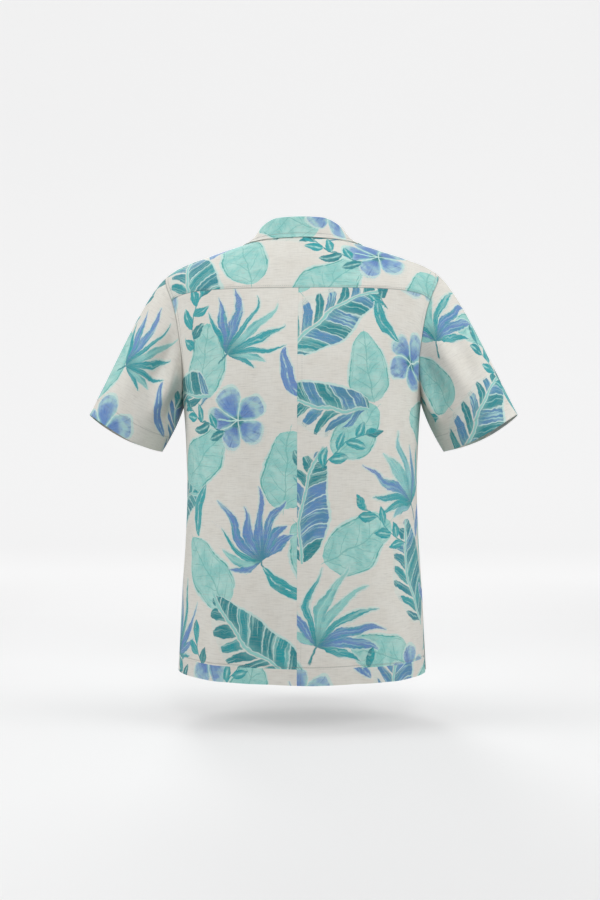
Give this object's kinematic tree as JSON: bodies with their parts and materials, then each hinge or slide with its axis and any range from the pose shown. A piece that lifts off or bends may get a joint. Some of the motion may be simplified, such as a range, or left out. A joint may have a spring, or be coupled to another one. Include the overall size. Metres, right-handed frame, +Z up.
{
  "type": "camp collar shirt",
  "caption": "Short-sleeved camp collar shirt, filled out as worn, with back yoke, centre-back seam, open side vents and a button front.",
  "frame": {"origin": "middle of the neck opening, level with the shoulder seams' neck ends", "axes": "+Z up, +Y towards the wearer's back, +X towards the wearer's left"},
  "size_m": [0.6836, 0.2975, 0.7107],
  "materials": {
    "back_left_cloth": "light slubbed plain weave, printed",
    "back_right_cloth": "light slubbed plain weave, printed",
    "yoke_cloth": "light slubbed plain weave, printed",
    "front_left_cloth": "light slubbed plain weave, printed",
    "front_right_cloth": "light slubbed plain weave, printed",
    "sleeve_left_cloth": "light slubbed plain weave, printed",
    "sleeve_right_cloth": "light slubbed plain weave, printed",
    "collar_cloth": "light slubbed plain weave, printed",
    "lapel_left_cloth": "light slubbed plain weave, printed",
    "lapel_right_cloth": "light slubbed plain weave, printed",
    "button_shell": "pale shell"
  },
  "bodies": {
    "root": {"back_left": "back_left_cloth", "back_right": "back_right_cloth", "yoke": "yoke_cloth", "front_left": "front_left_cloth", "front_right": "front_right_cloth", "sleeve_left": "sleeve_left_cloth", "sleeve_right": "sleeve_right_cloth", "collar": "collar_cloth", "lapel_left": "lapel_left_cloth", "lapel_right": "lapel_right_cloth", "button_1": "button_shell", "button_2": "button_shell", "button_3": "button_shell", "button_4": "button_shell", "button_5": "button_shell"}
  },
  "joints": []
}
